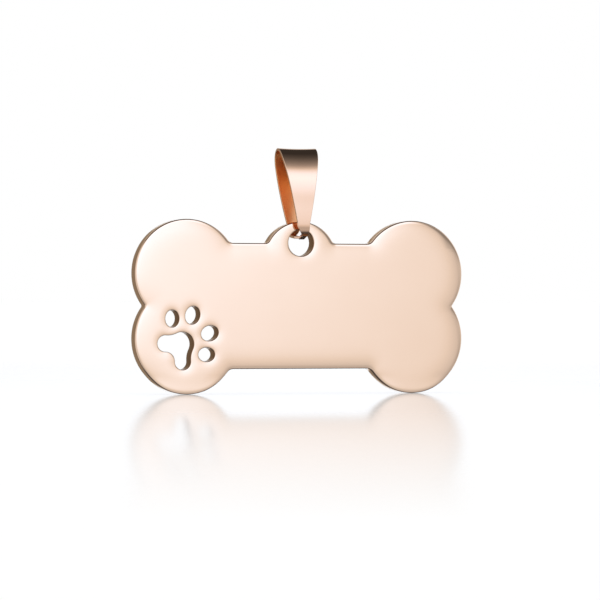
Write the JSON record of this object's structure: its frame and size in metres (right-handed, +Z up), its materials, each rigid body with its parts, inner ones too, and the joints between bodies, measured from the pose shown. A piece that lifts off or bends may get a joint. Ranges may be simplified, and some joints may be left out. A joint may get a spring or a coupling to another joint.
{
  "type": "pet tag",
  "caption": "Bone-shaped polished metal pet tag with a paw cut-out, swinging on a folded tapered snap bail that hangs it from a collar ring.",
  "frame": {"origin": "the inside top of the bail's loop, where a collar ring bears", "axes": "+X along the bone, +Y from the plate's front face to its back, +Z up"},
  "size_m": [0.04, 0.0046, 0.0281],
  "materials": {
    "plate_metal": "polished",
    "bail_metal": "polished"
  },
  "bodies": {
    "bail": {"snap_bail": "bail_metal"},
    "plate": {"bone_plate": "plate_metal"}
  },
  "joints": [
    {"name": "plate_swing", "type": "hinge", "parent": "bail", "child": "plate", "pos_m": [0, -0.00097, -0.00854], "axis": [1, 0, 0], "range_deg": [-126, 112]}
  ]
}
